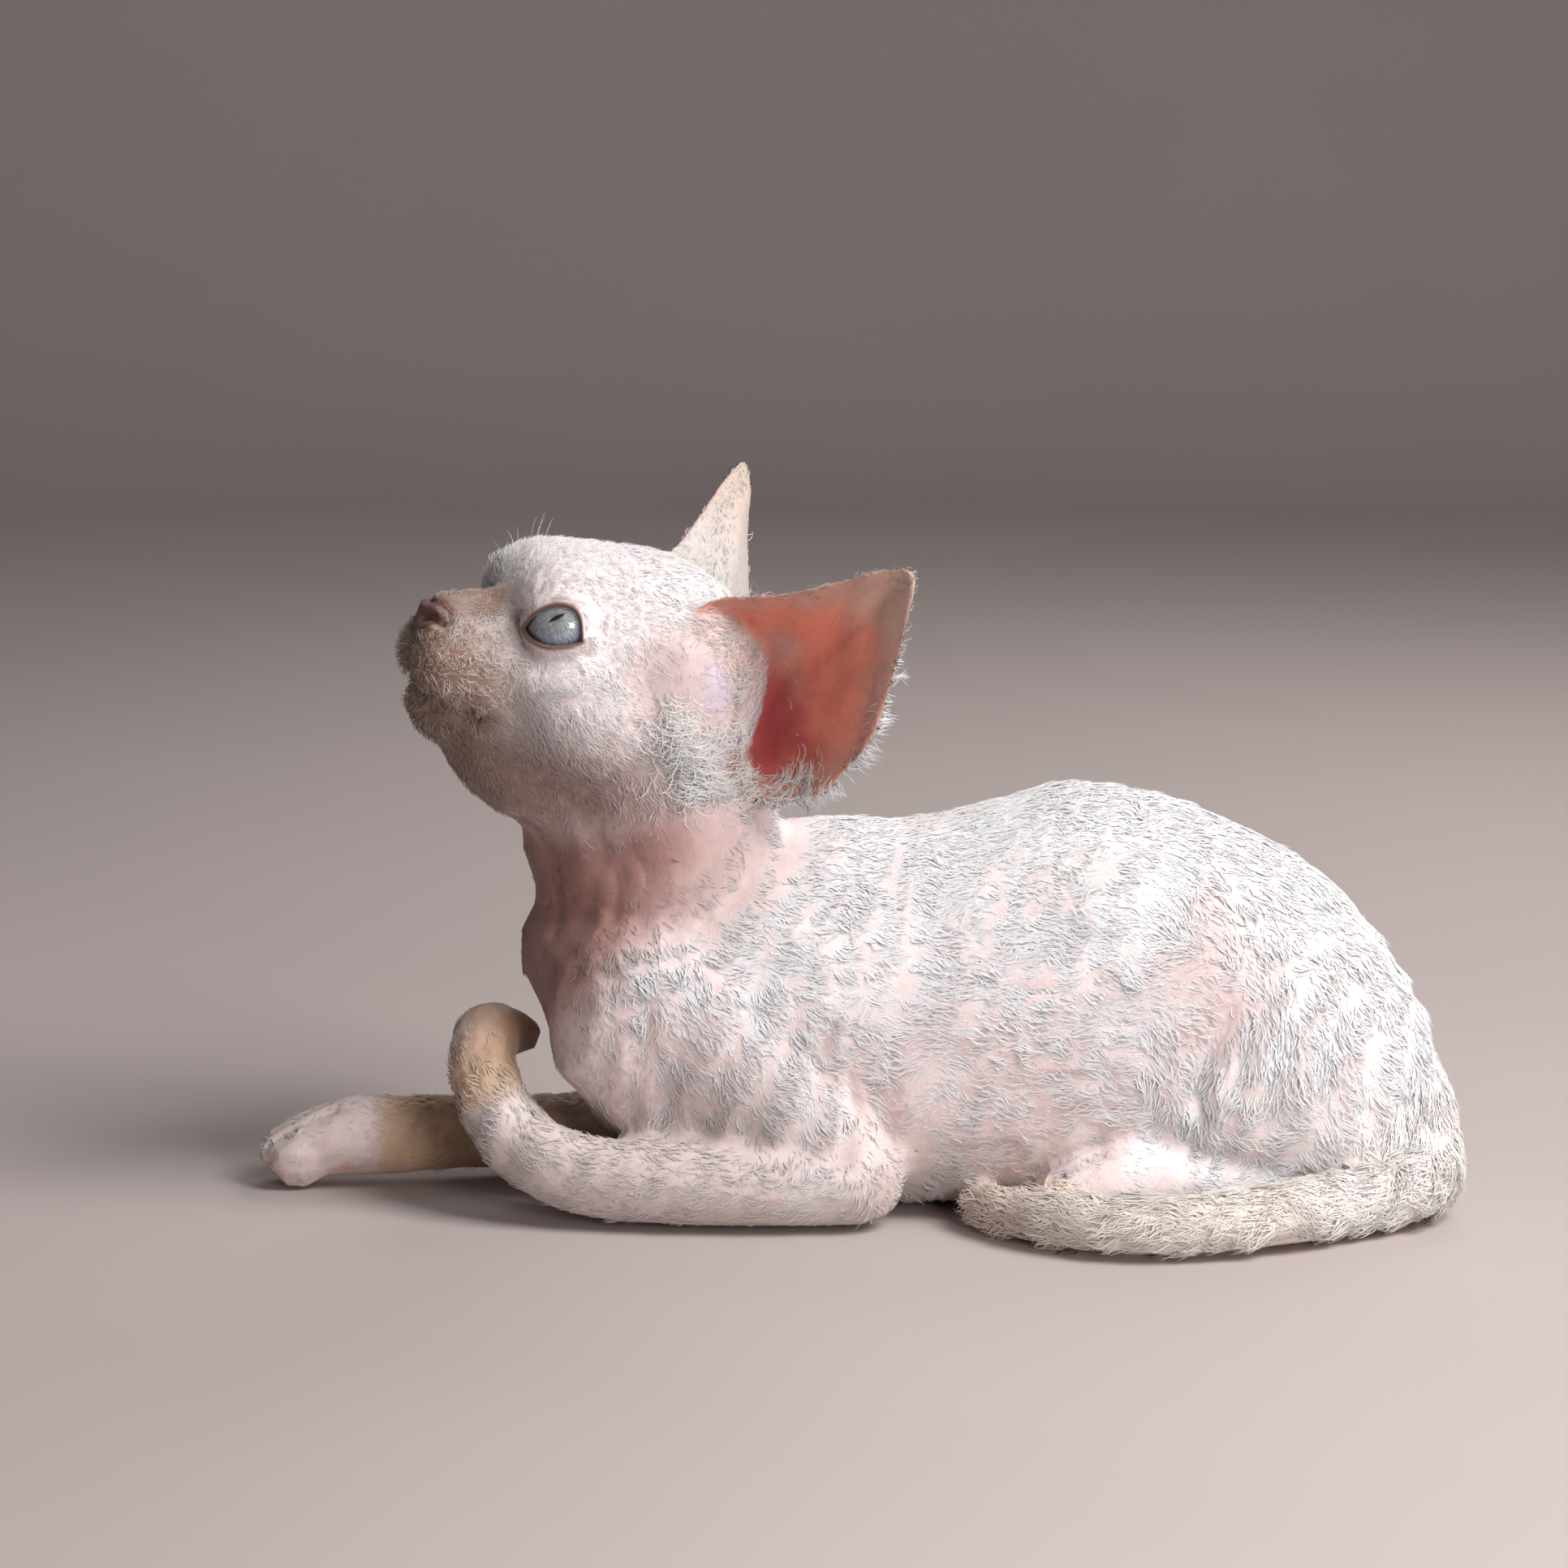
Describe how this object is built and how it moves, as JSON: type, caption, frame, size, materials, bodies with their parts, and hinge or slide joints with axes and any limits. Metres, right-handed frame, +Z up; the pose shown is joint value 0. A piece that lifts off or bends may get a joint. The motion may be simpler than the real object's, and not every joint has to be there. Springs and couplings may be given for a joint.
{
  "type": "devon rex cat",
  "caption": "Life-size still model of a devon rex kitten lying with its head raised, forepaws crossed and tail curled along its side.",
  "frame": {"origin": "middle of the bounding box on the floor, under the kitten's belly", "axes": "+X towards the rump, +Y towards the kitten's right side, +Z up; the kitten faces -X"},
  "size_m": [0.3008, 0.142, 0.1765],
  "materials": {
    "white_coat": "short soft white fur over pink skin",
    "face_coat": "short white fur, beige on muzzle and cheeks",
    "cream_coat": "wavy cream fur",
    "ear_skin": "thin pink skin with sparse beige down",
    "eye_blue": "wet clear cornea over a blue-grey iris"
  },
  "bodies": {
    "root": {"head": "face_coat", "neck": "white_coat", "torso": "white_coat", "foreleg_left": "white_coat", "foreleg_right": "white_coat", "hindleg_left": "white_coat", "hindleg_right": "white_coat", "tail_root": "cream_coat", "tail_middle": "cream_coat", "tail_tip": "cream_coat", "ear_left": "ear_skin", "ear_right": "ear_skin", "eye_left": "eye_blue", "eye_right": "eye_blue"}
  },
  "joints": []
}
